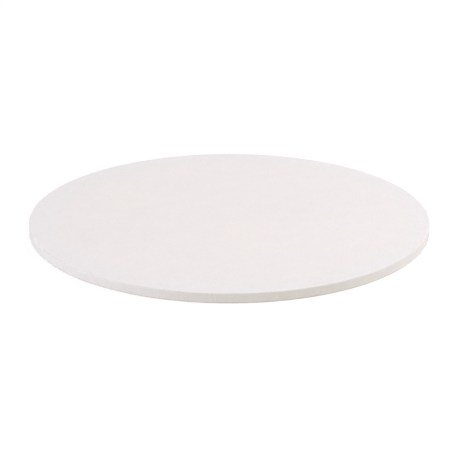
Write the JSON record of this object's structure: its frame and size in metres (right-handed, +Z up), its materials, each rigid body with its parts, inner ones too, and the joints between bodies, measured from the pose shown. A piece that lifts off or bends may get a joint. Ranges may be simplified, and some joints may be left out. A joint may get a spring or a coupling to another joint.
{
  "type": "pizza stone",
  "caption": "Flat round slab of unglazed pale ceramic with softly eased edges, which bakes pizza and bread on its upper face in an oven or on a grill.",
  "frame": {"origin": "centre of the flat underside, on the surface that the stone lies on", "axes": "+Z up, along the slab's axis and across its thickness, from the underside to the baking face; X and Y lie in the underside, and the slab is the same all round"},
  "size_m": [0.38, 0.38, 0.01],
  "materials": {
    "fired_cordierite": "matte"
  },
  "bodies": {
    "root": {"stone_slab": "fired_cordierite"}
  },
  "joints": []
}
